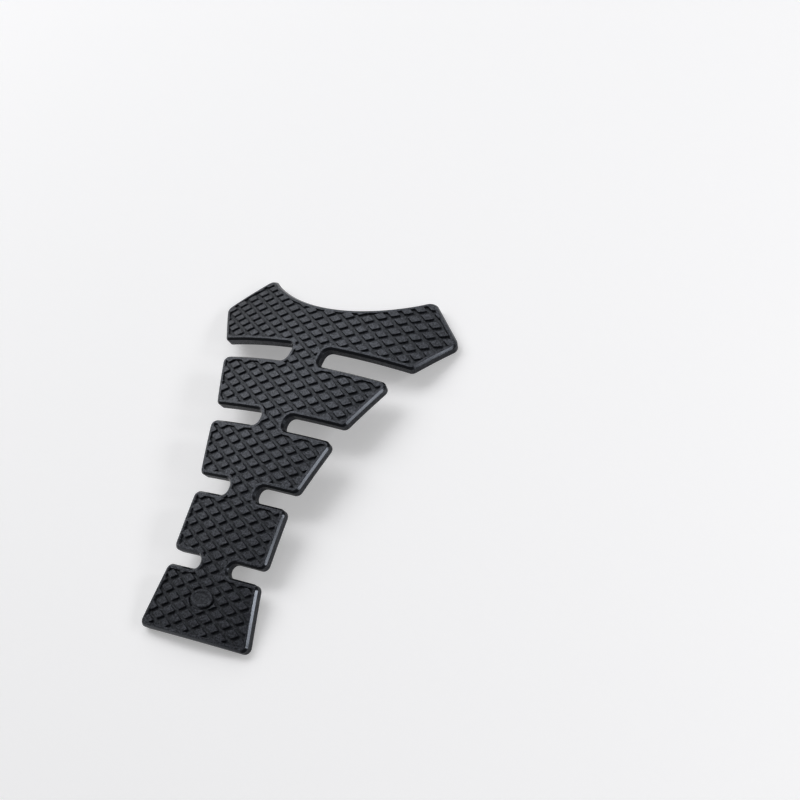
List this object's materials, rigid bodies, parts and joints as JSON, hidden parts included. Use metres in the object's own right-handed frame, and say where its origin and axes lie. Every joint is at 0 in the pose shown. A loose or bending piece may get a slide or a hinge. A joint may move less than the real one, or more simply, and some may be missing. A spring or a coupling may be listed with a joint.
{
  "type": "motorcycle tank pad",
  "caption": "Moulded rubber tank pad: a wide wing and a row of segments on one spine, curved over the tank, with a tread of small diamond blocks on its face.",
  "frame": {"origin": "centre of the pad's box, on the level that its wing tips and tail corners rest on", "axes": "+X to the right across the pad, +Y up the tank towards the wing, +Z out of the tank through the treaded face"},
  "size_m": [0.1554, 0.211, 0.0219],
  "materials": {
    "black_rubber": "moulded black rubber, matt, with a fine even grain"
  },
  "bodies": {
    "root": {"tank_pad": "black_rubber"}
  },
  "joints": []
}
